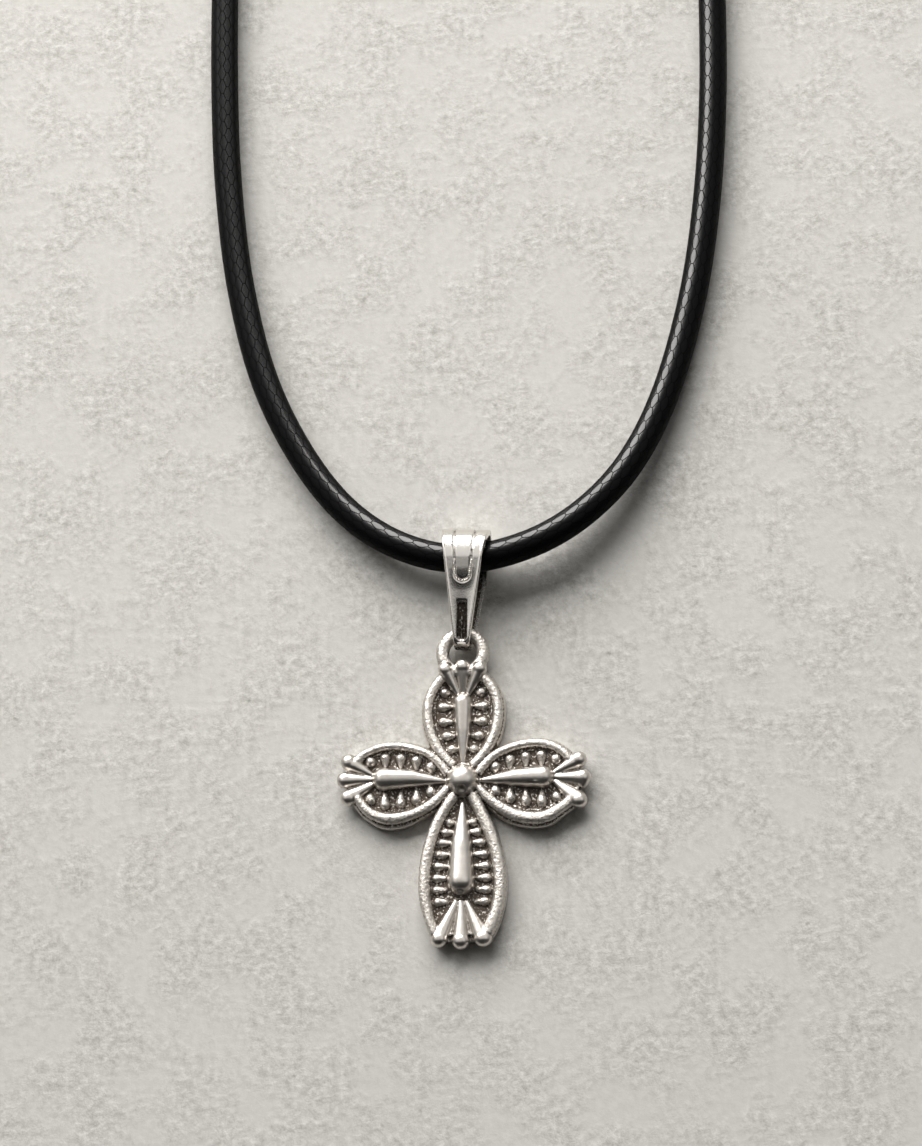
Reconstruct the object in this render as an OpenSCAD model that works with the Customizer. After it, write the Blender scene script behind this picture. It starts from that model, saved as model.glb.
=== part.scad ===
// Cross necklace: a cast cross on a folded bail, hung on a black waxed cord with a barrel clasp.
// It lies flat. The origin is under the ball, on the flat back of the cross. +Y runs up the
// long arm towards the clasp, +X to the right, +Z out of the front. Millimetres.

/* [Cross] */
// Thickness of the flat plate behind the relief
plate_t = 1.1; // [1:0.05:1.2]
// Half width of the left and right petals at their widest
side_half = 4.45; // [4.3:0.05:4.6]
// Half width of the top and bottom petals at their widest
long_half = 4.35; // [4.2:0.05:4.5]
// Radius of the round rim bar
rim_r = 0.55; // [0.5:0.05:0.6]
// Distance from the plate's edge to the middle of the rim bar
rim_inset = 0.68; // [0.65:0.01:0.75]
// Height of the middle of the rim bar
rim_z = 1.42; // [1.3:0.02:1.5]
// Radius of the ball in the middle
ball_r = 1.62; // [1.5:0.02:1.7]
// Radius of the beads beside the teardrops
bead_r = 0.5; // [0.4:0.05:0.55]

/* [Hanging ring] */
// Distance from the ball to the middle of the ring
ring_y = 13.4; // [13.3:0.05:13.5]
// Radius of the ring at the middle of its wire
ring_r = 2.1; // [2.05:0.05:2.15]
// Radius of the ring's wire
ring_wire_r = 0.7; // [0.6:0.05:0.72]
// Height of the middle of the ring's wire
ring_z = 1.45; // [1.42:0.01:1.48]

/* [Bail] */
// Width of the bail at its fold, over the cord
bail_w = 5; // [4.6:0.1:5.4]
// Width of the bail at its tip, through the ring
bail_tip_w = 1.55; // [1.3:0.05:1.6]
// Thickness of the bail's sheet
bail_t = 0.6; // [0.5:0.05:0.6]
// Outer radius of the fold round the cord
fold_r = 2.8; // [2.8:0.05:3]
// Outer radius of the tip round the ring's wire
tip_r = 1.45; // [1.45:0.01:1.5]
// Turn of the bail on the ring, clockwise from the front
bail_turn = 3; // [0:0.5:4]

/* [Cord] */
// Diameter of the cord
cord_d = 3; // [2.6:0.1:3]

/* [Clasp] */
// Length of the barrel clasp
clasp_len = 22; // [18:1:26]
// Diameter of the barrel clasp
clasp_d = 5; // [4.6:0.1:5.4]

/* [Hidden] */

antique_silver = [0.66, 0.65, 0.62];
polished_silver = [0.80, 0.79, 0.77];
black_wax = [0.04, 0.04, 0.04];
plain_steel = [0.70, 0.70, 0.69];

// Petals: way it points, distance from the ball to its widest place, half width there, radius of
// its outline towards the ball and towards its tip, and the distance at which its plate ends
top_petal = [90, 7.3, long_half, 8.3, 5.6, 11.8];
left_petal = [180, 7.4, side_half, 8.1, 5.0, 11.9];
bottom_petal = [270, 10.7, long_half, 17, 12, 16.4];
right_petal = [0, 7.4, side_half, 8.1, 5.0, 11.9];
PETALS = [top_petal, left_petal, bottom_petal, right_petal];
WAY = 0;
WIDE = 1;
HALF = 2;
INNER_R = 3;
OUTER_R = 4;
END = 5;

// Where the rims start near the ball, and where they end beside the fingers
rim_from = 1.5;
rim_short_of_end = 0.75;

// Teardrops: distance from the ball to the thin end, to the middle of the round end, its radius,
// and how far the round end is raised above a half ball on the plate
TEARDROPS = [
    [2.0, 8.1, 1.0, 0.5],
    [2.0, 8.15, 1.1, 0.6],
    [2.4, 10.4, 1.38, 0.4],
    [2.0, 8.15, 1.1, 0.6],
];
teardrop_thin_r = 0.24;

// Each teardrop swells between its ends: how far along, and its radius there as a share
belly_at = 0.55;
belly_share = 0.78;

// How much lower than its round end a teardrop's thinner places lie, as a share of their thinness
teardrop_droop = 0.35;

// How far the ball's lowest point stands above the flat back
ball_lift = 0.08;

// Fingers at each tip: where the three start, length of the middle one and of the outer two,
// angle of the outer two, radius and height of their round ends. The top ones lie on the ring
FINGERS = [
    [9.1, 2.8, 3.1, 35, 0.78, 1.85],
    [9.4, 2.75, 3.0, 38, 0.88, 1.25],
    [12.4, 3.95, 4.3, 30, 0.9, 1.3],
    [9.4, 2.75, 3.0, 38, 0.88, 1.25],
];
finger_thin_r = 0.26;
finger_root_z = 1.3;
finger_root_gap = 0.52;

// Beads beside each teardrop: distance along the petal, distance from its middle line to the
// bead, and distance from the middle line to the inner end of the bead's small bar
short_beads = [
    [3.3, 1.15, 0.7],
    [4.7, 1.7, 1.0],
    [6.2, 2.05, 1.2],
    [7.8, 2.15, 1.3],
    [9.3, 1.9, 1.5],
];
side_beads = [
    [3.3, 1.2, 0.8],
    [4.8, 1.9, 1.1],
    [6.4, 2.2, 1.3],
    [8.0, 2.3, 1.4],
    [9.5, 1.85, 1.5],
];
bottom_beads = [
    [4.3, 1.2, 0.8],
    [5.3, 1.65, 0.9],
    [6.4, 2.0, 1.1],
    [7.6, 2.25, 1.3],
    [8.8, 2.4, 1.5],
    [10.0, 2.5, 1.7],
    [11.2, 2.5, 1.7],
    [12.4, 2.35, 1.5],
];
BEADS = [short_beads, side_beads, bottom_beads, side_beads];
bead_bar_r = 0.22;
bead_z = 1.2;

// Bail: the fold's middle and the tip's middle, seen from the side as [y, z]
fold_mid = [23.5, fold_r];
tip_mid = [15.25, tip_r];
bail_run = norm(fold_mid - tip_mid);
bail_rise = atan2(fold_mid[1] - tip_mid[1], fold_mid[0] - tip_mid[0]);
front_slope = bail_rise + asin((fold_r - tip_r) / bail_run);
bail_steps = 36;

// U-shaped groove of the bail: its depth, its width, how far its legs lie from the middle line,
// the angle at which it starts behind the fold, and how far it runs down the flat front
groove_depth = 0.16;
groove_w = 0.42;
groove_mid = 1.05;
groove_start = 20;
groove_run = 1.35;

// How far a cutter or an outline reaches past what it cuts
spare = 1;

// Route of the cord's middle line, from one end in the clasp round the loop to the other
clasp_y = 208;
clasp_z = clasp_d / 2;
cord_z = cord_d / 2;
ROUTE = [
    [-4, clasp_y, clasp_z], [-9, clasp_y, clasp_z], [-14, clasp_y, 2.3], [-19, 205.5, 1.7],
    [-23.4, 200.5, cord_z], [-26.2, 193, cord_z], [-27.5, 183, cord_z], [-28, 165, cord_z],
    [-27.7, 146, cord_z], [-27.4, 127, cord_z], [-27.1, 109, cord_z], [-27, 91, cord_z],
    [-26.7, 79, cord_z], [-26, 68, cord_z], [-24.4, 56, cord_z], [-21.6, 45, cord_z],
    [-17.5, 36.2, 1.6], [-12.5, 29.4, 1.9], [-6.6, 25.05, 2.4], [0, 23.3, 2.6],
    [6.8, 24.4, 3.1], [12.7, 27.8, 2.85], [17.7, 33.4, 2.25], [21.6, 41.4, 1.75],
    [24.6, 52, cord_z], [26.4, 63, cord_z], [27.4, 75, cord_z], [27.7, 88, cord_z],
    [27.6, 104, cord_z], [27.6, 120, cord_z], [27.8, 136, cord_z], [28, 152, cord_z],
    [28, 168, cord_z], [27.5, 183, cord_z], [26.2, 193, cord_z], [23.4, 200.5, cord_z],
    [19, 205.5, 1.7], [14, clasp_y, 2.3], [9, clasp_y, clasp_z], [4, clasp_y, clasp_z],
];
cord_sides = 8;

// Clasp: room round the cord in its sockets, and the chamfer at its ends
socket_play = 0.15;
clasp_chamfer = 0.5;
round_fn = 96;

// Sides of the round forms in the casting, and of the thin ends of its drops
thin_sides = 6;
teardrop_sides = 16;
finger_sides = 12;
bead_sides = 10;
ball_sides = 24;
wire_sides = 10;
rim_fn = 48;
ring_fn = 30;

// Half width of a petal's outline at a distance from the ball
function half_at(p, u) =
    let (r = (u < p[WIDE]) ? p[INNER_R] : p[OUTER_R])
    sqrt(pow(r, 2) - pow(u - p[WIDE], 2)) - (r - p[HALF]);

// One side of a petal's outline, from the ball out to the plate's end
function outline_side(p) =
    let (steps = 22)
    [for (i = [0 : steps])
        let (u = p[END] * i / steps)
        [u, half_at(p, u)]];

// A round form running from the middle of its thin end to that of its round end
module drop(from, to, r, thin_r, sides) {
    hull() {
        translate(from) sphere(thin_r, $fn = thin_sides);
        translate(to) rotate([0, 0, 180 / sides]) sphere(r, $fn = sides);
    }
}

// Flat plate of one petal
module petal_plate(p) {
    side = outline_side(p);
    back = [for (i = [len(side) - 1 : -1 : 0]) [side[i][0], -side[i][1]]];
    linear_extrude(plate_t) polygon(concat(side, back));
}

// Part of a round bar bent to a radius about a middle on the petal's cross line
module rim_arc(p, r, from_angle, to_angle) {
    translate([p[WIDE], p[HALF] - r, rim_z])
        rotate([0, 0, from_angle])
            rotate_extrude(angle = to_angle - from_angle, $fn = rim_fn)
                translate([r - rim_inset, 0]) circle(rim_r, $fn = wire_sides);
}

// Raised rim along one side of a petal
module petal_rim(p) {
    inner = asin((p[WIDE] - rim_from) / (p[INNER_R] - rim_inset));
    outer = asin((p[END] - rim_short_of_end - p[WIDE]) / (p[OUTER_R] - rim_inset));
    rim_arc(p, p[INNER_R], 90, 90 + inner);
    rim_arc(p, p[OUTER_R], 90 - outer, 90);
}

// Smooth teardrop along the middle of a petal, with upright sides down to the plate
module teardrop(t) {
    z = max(plate_t, t[2]) + t[3];
    belly_u = t[0] + belly_at * (t[1] - t[0]);
    thin_z = z - teardrop_droop * (t[2] - teardrop_thin_r);
    belly_z = z - teardrop_droop * t[2] * (1 - belly_share);
    hull() {
        translate([t[0], 0, thin_z]) sphere(teardrop_thin_r, $fn = thin_sides);
        translate([belly_u, 0, belly_z]) sphere(belly_share * t[2], $fn = teardrop_sides);
        translate([t[1], 0, z]) sphere(t[2], $fn = teardrop_sides);
        translate([t[0], 0, plate_t / 2]) cylinder(plate_t, r = teardrop_thin_r, $fn = thin_sides);
        translate([t[1], 0, plate_t / 2]) cylinder(plate_t, r = t[2] * 0.9, $fn = teardrop_sides);
    }
}

// Three fingers spread at a petal's tip
module fingers(f) {
    for (side = [-1 : 1]) {
        reach = (side == 0) ? f[1] : f[2];
        turn = side * f[3];
        tip = [f[0] + reach * cos(turn), reach * sin(turn), f[5]];
        root = [f[0], side * finger_root_gap, finger_root_z];
        drop(root, tip, f[4], finger_thin_r, finger_sides);
    }
}

// Rows of beads, each with a small bar towards the teardrop
module bead_rows(beads) {
    for (b = beads)
        for (side = [-1, 1])
            drop([b[0], side * b[2], bead_z], [b[0], side * b[1], bead_z],
                bead_r, bead_bar_r, bead_sides);
}

// One petal with its relief
module petal(i) {
    p = PETALS[i];
    rotate([0, 0, p[WAY]]) {
        petal_plate(p);
        petal_rim(p);
        mirror([0, 1, 0]) petal_rim(p);
        teardrop(TEARDROPS[i]);
        fingers(FINGERS[i]);
        bead_rows(BEADS[i]);
    }
}

// Cast cross with its ball and hanging ring
module cross() {
    color(antique_silver) union() {
        for (i = [0 : len(PETALS) - 1]) petal(i);
        translate([0, 0, ball_r + ball_lift]) sphere(ball_r, $fn = ball_sides);
        translate([0, ring_y, ring_z])
            rotate_extrude($fn = ring_fn)
                translate([ring_r, 0]) circle(ring_wire_r, $fn = wire_sides);
    }
}

// Outline of the bail seen from the side, set in by some amount: the fold, then the tip
function bail_loop(inset) =
    let (fold_turn = 180 + front_slope, tip_turn = 180 - front_slope)
    concat(
        [for (i = [0 : bail_steps])
            let (a = -90 + fold_turn * i / bail_steps)
            fold_mid + (fold_r - inset) * [cos(a), sin(a)]],
        [for (i = [0 : bail_steps])
            let (a = 90 + front_slope + tip_turn * i / bail_steps)
            tip_mid + (tip_r - inset) * [cos(a), sin(a)]]);

// Closed band of the bail, as wide as its fold all the way down
module bail_band() {
    rotate([90, 0, 90]) translate([0, 0, -bail_w / 2 - spare])
        linear_extrude(bail_w + 2 * spare)
            difference() {
                polygon(bail_loop(0));
                polygon(bail_loop(bail_t));
            }
}

// Outline of the bail from the front, wide over the fold and narrow at the tip
module bail_outline() {
    low = tip_mid[0] - tip_r;
    high = fold_mid[0] + fold_r;
    tip = bail_tip_w / 2;
    top = bail_w / 2;
    translate([0, 0, -spare]) linear_extrude(2 * fold_r + 2 * spare)
        polygon([
            [-tip, low - spare], [tip, low - spare], [tip, low], [top, high],
            [top, high + spare], [-top, high + spare], [-top, high], [-tip, low],
        ]);
}

// Cutter for the U-shaped groove that comes over the fold and ends on the front
module bail_groove() {
    rotate([90, 0, 90]) translate([fold_mid[0], fold_mid[1], 0]) {
        for (side = [-1, 1])
            translate([0, 0, side * groove_mid - groove_w / 2])
                rotate([0, 0, groove_start])
                    rotate_extrude(angle = 90 - groove_start + front_slope, $fn = round_fn)
                        translate([fold_r - groove_depth, 0])
                            square([groove_depth + spare, groove_w]);
        rotate([0, 0, front_slope])
            translate([0, fold_r + spare, 0])
                rotate([90, 0, 0])
                    linear_extrude(groove_depth + spare) groove_end();
    }
}

// Lower end of the groove, lying on the front: two legs and half a ring
module groove_end() {
    outer = groove_mid + groove_w / 2;
    inner = groove_mid - groove_w / 2;
    joint = 0.01;
    for (side = [-1, 1])
        translate([-groove_run, side * groove_mid - groove_w / 2])
            square([groove_run + joint, groove_w]);
    translate([-groove_run, 0])
        difference() {
            circle(outer, $fn = round_fn);
            circle(inner, $fn = round_fn);
            translate([0, -outer - spare]) square(2 * (outer + spare));
        }
}

// Folded bail, narrow end through the ring and wide end round the cord
module bail() {
    color(polished_silver)
        translate([0, tip_mid[0], 0])
            rotate([0, 0, -bail_turn])
                translate([0, -tip_mid[0], 0])
                    difference() {
                        intersection() {
                            bail_band();
                            bail_outline();
                        }
                        bail_groove();
                    }
}

// Point and direction on the smooth curve through the route, t from 0 to 1 past point i
function along(i) = (ROUTE[min(i + 1, len(ROUTE) - 1)] - ROUTE[max(i - 1, 0)]) / 2;
function route_point(i, t) =
    ROUTE[i] * (2 * pow(t, 3) - 3 * pow(t, 2) + 1) + along(i) * (pow(t, 3) - 2 * pow(t, 2) + t)
    + ROUTE[i + 1] * (3 * pow(t, 2) - 2 * pow(t, 3)) + along(i + 1) * (pow(t, 3) - pow(t, 2));
function route_way(i, t) =
    (ROUTE[i] - ROUTE[i + 1]) * (6 * pow(t, 2) - 6 * t) + along(i) * (3 * pow(t, 2) - 4 * t + 1)
    + along(i + 1) * (3 * pow(t, 2) - 2 * t);

// Ring of points round the route, one of them straight below its middle
function cord_ring(i, t) =
    let (
        p = route_point(i, t),
        mid = [p[0], p[1], max(p[2], cord_z)],
        way = route_way(i, t),
        across = cross([way[0], way[1], 0], [0, 0, 1]),
        side = across / norm(across),
        up = cross(side, way) / norm(cross(side, way)))
    [for (k = [0 : cord_sides - 1])
        let (a = 360 * k / cord_sides)
        mid + cord_d / 2 * (cos(a) * side + sin(a) * up)];

// Cord as one tube along its route
module cord() {
    last = len(ROUTE) - 1;
    stations = concat([for (i = [0 : last - 1]) for (t = [0, 0.5]) [i, t]], [[last - 1, 1]]);
    rings = [for (s = stations) cord_ring(s[0], s[1])];
    n = cord_sides;
    points = [for (ring = rings) for (p = ring) p];
    walls = [for (j = [0 : len(rings) - 2]) for (k = [0 : n - 1])
        [j * n + k, j * n + (k + 1) % n, (j + 1) * n + (k + 1) % n, (j + 1) * n + k]];
    first_cap = [for (k = [n - 1 : -1 : 0]) k];
    last_cap = [for (k = [0 : n - 1]) (len(rings) - 1) * n + k];
    color(black_wax) polyhedron(points, concat(walls, [first_cap, last_cap]), convexity = 4);
}

// Barrel clasp with a blind socket at each end for the cord
module clasp() {
    r = clasp_d / 2;
    half = clasp_len / 2;
    floor_x = ROUTE[len(ROUTE) - 1][0];
    socket_r = cord_z + socket_play;
    side = [
        [0, floor_x], [socket_r, floor_x], [socket_r, half],
        [r - clasp_chamfer, half], [r, half - clasp_chamfer],
    ];
    other = [for (i = [len(side) - 1 : -1 : 0]) [side[i][0], -side[i][1]]];
    color(plain_steel)
        translate([0, clasp_y, clasp_z])
            rotate([0, 90, 0])
                rotate_extrude($fn = round_fn) polygon(concat(side, other));
}

cross();
bail();
cord();
clasp();
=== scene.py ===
import math
import random
from collections import namedtuple

import bpy
import numpy as np
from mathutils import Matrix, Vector
from mathutils.kdtree import KDTree


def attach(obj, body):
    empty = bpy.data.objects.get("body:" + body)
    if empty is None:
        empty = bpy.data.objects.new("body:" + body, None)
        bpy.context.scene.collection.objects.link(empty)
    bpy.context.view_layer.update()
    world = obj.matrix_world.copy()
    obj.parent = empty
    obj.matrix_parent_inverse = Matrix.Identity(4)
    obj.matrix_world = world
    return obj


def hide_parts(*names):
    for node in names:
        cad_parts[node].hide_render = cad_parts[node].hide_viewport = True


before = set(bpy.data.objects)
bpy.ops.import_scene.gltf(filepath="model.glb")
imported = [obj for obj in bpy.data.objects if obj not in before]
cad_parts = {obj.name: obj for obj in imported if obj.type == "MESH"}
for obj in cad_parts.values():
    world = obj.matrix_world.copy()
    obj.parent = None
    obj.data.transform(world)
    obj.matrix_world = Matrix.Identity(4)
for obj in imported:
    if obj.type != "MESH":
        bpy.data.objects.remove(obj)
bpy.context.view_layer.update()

# Pieces are modelled in millimetres and shrunk to metres when they are finished
MM = 0.001

# Camera: the picture's height in pixels, the sensor's width, the point that it looks at, how far
# it leans from straight above, to the south and to the right, its distance, and its scale there
IMAGE_HEIGHT = 1146
SENSOR = 36.0
TARGET = (-0.3613, 22.577, 0)
LEAN = math.radians(17.5)
SIDE_LEAN = math.radians(6)
DISTANCE = 280
PIXELS_PER_MM = 9.55

# Cord: its diameter and its middle line, from one end in the clasp round the loop to the other
CORD_D = 3.0
CORD_Z = CORD_D / 2
CLASP_Y = 208
CLASP_Z = 2.5
ROUTE_STEPS = 24
ROUTE = [
    (-4, CLASP_Y, CLASP_Z), (-9, CLASP_Y, CLASP_Z), (-14, CLASP_Y, 2.3), (-19, 205.5, 1.7),
    (-23.4, 200.5, CORD_Z), (-26.2, 193, CORD_Z), (-27.5, 183, CORD_Z), (-28, 165, CORD_Z),
    (-27.7, 146, CORD_Z), (-27.4, 127, CORD_Z), (-27.1, 109, CORD_Z), (-27, 91, CORD_Z),
    (-26.7, 79, CORD_Z), (-26, 68, CORD_Z), (-24.4, 56, CORD_Z), (-21.6, 45, CORD_Z),
    (-17.5, 36.2, 1.6), (-12.5, 29.4, 1.9), (-6.6, 25.05, 2.4), (0, 23.3, 2.6),
    (6.8, 24.4, 3.1), (12.7, 27.8, 2.85), (17.7, 33.4, 2.25), (21.6, 41.4, 1.75),
    (24.6, 52, CORD_Z), (26.4, 63, CORD_Z), (27.4, 75, CORD_Z), (27.7, 88, CORD_Z),
    (27.6, 104, CORD_Z), (27.6, 120, CORD_Z), (27.8, 136, CORD_Z), (28, 152, CORD_Z),
    (28, 168, CORD_Z), (27.5, 183, CORD_Z), (26.2, 193, CORD_Z), (23.4, 200.5, CORD_Z),
    (19, 205.5, 1.7), (14, CLASP_Y, 2.3), (9, CLASP_Y, CLASP_Z), (4, CLASP_Y, CLASP_Z),
]

# Braid: plates in columns round the cord, their length, and how much wider they are in their
# middle than at their ends; then the seams between them, the column that is rubbed glossy, and
# the mesh that they lie on
BRAID_COLUMNS = 16
PLATE_LENGTH = 1.72
PLATE_BULGE = 0.5
SEAM_W = 0.1
RUBBED_COLUMN = 5
CORD_SIDES = 40
CORD_RING_STEP = 0.36

# Cast cross: plate, rims and relief, with u running out along a petal from the ball, v across it
PLATE_T = 1.1
PLATE_ROUND = 0.34
PLATE_SIDE_STEP = 0.25
PLATE_OVERLAP_U = 0.3
PLATE_OVERLAP_V = 0.2
RIM_Z = 1.42
RIM_FROM = 1.5
RIM_SHORT_OF_END = 0.75
RIM_TURN_LIMIT = 0.96
LINE_R = 0.13
LINE_PAST_RIM = 0.66
LINE_Z = 1.16
BALL_R = 1.62
BALL_LIFT = 0.08
COLLAR_R = 1.66
COLLAR_WIRE = 0.14
COLLAR_Z = 1.42
RING_Y = 13.4
RING_R = 2.1
RING_WIRE_R = 0.7
RING_Z = 1.45
BEAD_Z = 1.2
BEAD_BAR_R = 0.26
TEARDROP_THIN_R = 0.24
BELLY_AT = 0.55
BELLY_SHARE = 0.78
TEARDROP_SINK = 0.35
SKIRT_OUT = 0.3
SKIRT_UP = 0.2
FINGER_THIN_R = 0.26
FINGER_ROOT_Z = 1.3
FINGER_ROOT_GAP = 0.52
FINGER_NECK = 0.86
FINGER_NECK_AT = 0.55
RIDGE_FROM = 0.3
RIDGE_SHARE = 0.8
RIDGE_LIFT = 0.1
RIDGE_THIN_R = 0.09
RIDGE_R = 0.14

# A petal is widest at u = wide, where it reaches v = half on both sides. One arc bounds its plate
# inwards of there, and one outwards, up to u = end. A bead is its u, its v and its bar's inner v
Petal = namedtuple("Petal", "name arms wide half inner_r outer_r end rim drop fingers bead_r beads")
Rim = namedtuple("Rim", "inset r")
Drop = namedtuple("Drop", "thin_u round_u r lift")
Fingers = namedtuple("Fingers", "root_u mid_len side_len angle r z")
SIDE_BEADS = [(3.3, 1.2, 0.8), (4.8, 1.9, 1.1), (6.4, 2.2, 1.3), (8.0, 2.3, 1.4), (9.5, 1.85, 1.5)]
TOP_BEADS = [(3.3, 1.15, 0.7), (4.7, 1.7, 1.0), (6.2, 2.05, 1.2), (7.8, 2.15, 1.3), (9.3, 1.9, 1.5)]
BOTTOM_BEADS = [
    (4.3, 1.2, 0.8), (5.3, 1.65, 0.9), (6.4, 2.0, 1.1), (7.6, 2.25, 1.3),
    (8.8, 2.4, 1.5), (10.0, 2.5, 1.7), (11.2, 2.5, 1.7), (12.4, 2.35, 1.5),
]

# The casting is a little uneven: in each arm, what lies at a v is moved across the petal by the
# number beside it, and at the petal's tip by other numbers. The shifts fade in along u
Arm = namedtuple("Arm", "turn mirrored moved tip_moved")
MOVED_FADE = (1.5, 4)
TIP_FADE = (-0.6, 1.8)
STILL = [(0, 0)]
RIGHT_MOVED = [
    (-4.45, -0.52), (-3.8, -0.4), (-2.9, -0.14), (-2.2, 0),
    (0, 0.2), (2.2, 0.2), (3.4, 0.05), (4.45, 0),
]
RIGHT_TIP_MOVED = [
    (-4, -0.1), (-3.2, -0.25), (-2.5, -0.42), (-1.2, -0.4), (-0.5, 0.08), (2.6, 0.08), (3.6, 0),
]
LEFT_MOVED = [(-4.45, -0.34), (-3.9, -0.06), (-2.2, 0), (0, 0.38), (2.2, 0.34), (3.4, 0.1), (4.45, 0)]
LEFT_TIP_MOVED = [(-3.6, 0), (-2.6, 0.38), (2.6, 0.38), (3.6, 0)]
BOTTOM_MOVED = [(-4.35, -0.25), (-2.5, -0.18), (2, -0.18), (3.2, 0), (4.35, 0.08)]
BOTTOM_TIP_MOVED = [(-4.35, -0.1), (-2.4, -0.3), (2.4, -0.2), (3.6, 0)]

PETALS = [
    Petal(
        name="top", arms=[Arm(turn=90, mirrored=False, moved=STILL, tip_moved=STILL)],
        wide=7.3, half=4.35, inner_r=8.3, outer_r=5.6, end=11.8, rim=Rim(inset=0.72, r=0.53),
        drop=Drop(thin_u=2.0, round_u=8.1, r=1.0, lift=0.5),
        fingers=Fingers(root_u=9.1, mid_len=2.8, side_len=3.1, angle=35, r=0.78, z=1.85),
        bead_r=0.5, beads=TOP_BEADS,
    ),
    Petal(
        name="side", arms=[
            Arm(turn=0, mirrored=False, moved=RIGHT_MOVED, tip_moved=RIGHT_TIP_MOVED),
            Arm(turn=0, mirrored=True, moved=LEFT_MOVED, tip_moved=LEFT_TIP_MOVED),
        ],
        wide=7.4, half=4.45, inner_r=8.1, outer_r=5.0, end=11.9, rim=Rim(inset=0.76, r=0.51),
        drop=Drop(thin_u=2.0, round_u=8.15, r=1.1, lift=0.6),
        fingers=Fingers(root_u=9.4, mid_len=2.75, side_len=3.0, angle=38, r=0.88, z=1.25),
        bead_r=0.56, beads=SIDE_BEADS,
    ),
    Petal(
        name="bottom",
        arms=[Arm(turn=270, mirrored=False, moved=BOTTOM_MOVED, tip_moved=BOTTOM_TIP_MOVED)],
        wide=10.7, half=4.35, inner_r=17, outer_r=12, end=16.4, rim=Rim(inset=0.65, r=0.6),
        drop=Drop(thin_u=2.4, round_u=10.4, r=1.38, lift=0.4),
        fingers=Fingers(root_u=12.4, mid_len=3.95, side_len=4.3, angle=30, r=0.9, z=1.3),
        bead_r=0.46, beads=BOTTOM_BEADS,
    ),
]

# The fused casting: its voxels, its triangles, its grain, and its pits as place, radius and depth
CAST_VOXEL = 0.085
CAST_TRIANGLES = 190000
GRAIN_SIZE = 0.2
GRAIN_DEEP = 0.06
PITS = [((-0.05, -1.22, 2.77), 0.6, 0.35), ((-0.2, -11.59, 2.48), 0.4, 0.3)]

# Folded bail: its sheet, its fold over the cord and its tip in the ring, each a radius and a
# middle seen from the side as (y, z), its turn, and how far to the right the sheet lies behind;
# then the grid that it is made from
BAIL_W = 5.0
BAIL_TIP_W = 1.55
BAIL_T = 0.6
FOLD_R = 2.8
TIP_R = 1.45
FOLD_MID = (23.5, FOLD_R)
TIP_MID = (15.25, TIP_R)
BAIL_TURN = math.radians(3)
BACK_SHIFT = 0.25
BAIL_COLUMNS = 66
BAIL_ROWS = 360
FOLD_POINTS = 160
TIP_POINTS = 90
Profile = namedtuple("Profile", "far places ways front")

# Relief of the bail's front, measured down the sheet from where the flat front starts: rims at
# its sides, a trough between them, a groove like a U that comes over the fold and holds a row of
# small beads, and a slot with a low seam along its middle
EDGE_W = 0.09
EDGE_DEEP = 0.07
SIDE_RIM_W = 0.3
SIDE_RIM_UP = 0.07
SIDE_RIM_FROM = -1.6
RIM_TURNS_AT = 9.2
RIM_CORNER = 0.45
TROUGH_DEEP = 0.14
TROUGH_FROM = 1.0
LEG_V = 0.78
LEG_SPREAD = 0.06
LEG_SPREAD_RUN = 5
LEG_W = 0.4
LEG_DEEP = 0.09
LEG_END = 1.66
LEG_BEHIND = -6.2
MILGRAIN_R = 0.1
MILGRAIN_SIZES = (0.65, 1.1)
MILGRAIN_STEP = 0.2
MILGRAIN_STRAY = 0.05
MILGRAIN_FROM = 0.3
SLOT_W = 0.94
SLOT_FROM = 4.6
SLOT_TO = 8.6
SLOT_DEEP = 0.26
SLOT_WALL = (-0.16, 0.12)
SEAM_FROM = 5.6
SEAM_HALF_W = 0.14
SEAM_SHARE = 0.45

# Floor and lights: the floor's side in metres, and the colours of the lamps and of the room
FLOOR_SIDE = 3.0
LAMP_COLOUR = (1, 0.985, 0.96)
ROOM_COLOUR = (0.93, 0.915, 0.89, 1)


# Selecting and finishing


def clear():
    """Leaves nothing selected, in object mode."""
    if bpy.context.object and bpy.context.object.mode != "OBJECT":
        bpy.ops.object.mode_set(mode="OBJECT")
    bpy.ops.object.select_all(action="DESELECT")


def take(*objs):
    """Selects just these objects, the first one active."""
    clear()
    for obj in objs:
        obj.select_set(True)
    bpy.context.view_layer.objects.active = objs[0]
    return objs[0]


def edit(obj):
    """Opens one object in edit mode with all of it selected."""
    take(obj)
    bpy.ops.object.mode_set(mode="EDIT")
    bpy.ops.mesh.select_all(action="SELECT")


def done():
    bpy.ops.object.mode_set(mode="OBJECT")


def settle(obj):
    """Puts an object's place, turn and scale into its mesh."""
    take(obj)
    bpy.ops.object.transform_apply(location=True, rotation=True, scale=True)
    return obj


def joined(parts, name):
    """Joins parts into one object."""
    obj = take(*parts)
    bpy.ops.object.join()
    obj.name = obj.data.name = name
    return obj


def apply_modifier(obj, kind, **settings):
    """Adds a modifier with its settings and applies it."""
    take(obj)
    bpy.ops.object.modifier_add(type=kind)
    modifier = obj.modifiers[-1]
    for key, value in settings.items():
        setattr(modifier, key, value)
    bpy.ops.object.modifier_apply(modifier=modifier.name)
    return obj


def shrink(obj):
    """Turns a piece's millimetres into metres."""
    obj.scale = (MM, MM, MM)
    return settle(obj)


def points_of(obj):
    """An object's vertices as rows of x, y, z."""
    co = np.zeros(len(obj.data.vertices) * 3)
    obj.data.vertices.foreach_get("co", co)
    return co.reshape(-1, 3)


def set_points(obj, co):
    obj.data.vertices.foreach_set("co", np.asarray(co, float).ravel())
    obj.data.update()


def normals_of(obj):
    no = np.zeros(len(obj.data.vertices) * 3)
    obj.data.vertices.foreach_get("normal", no)
    return no.reshape(-1, 3)


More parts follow.
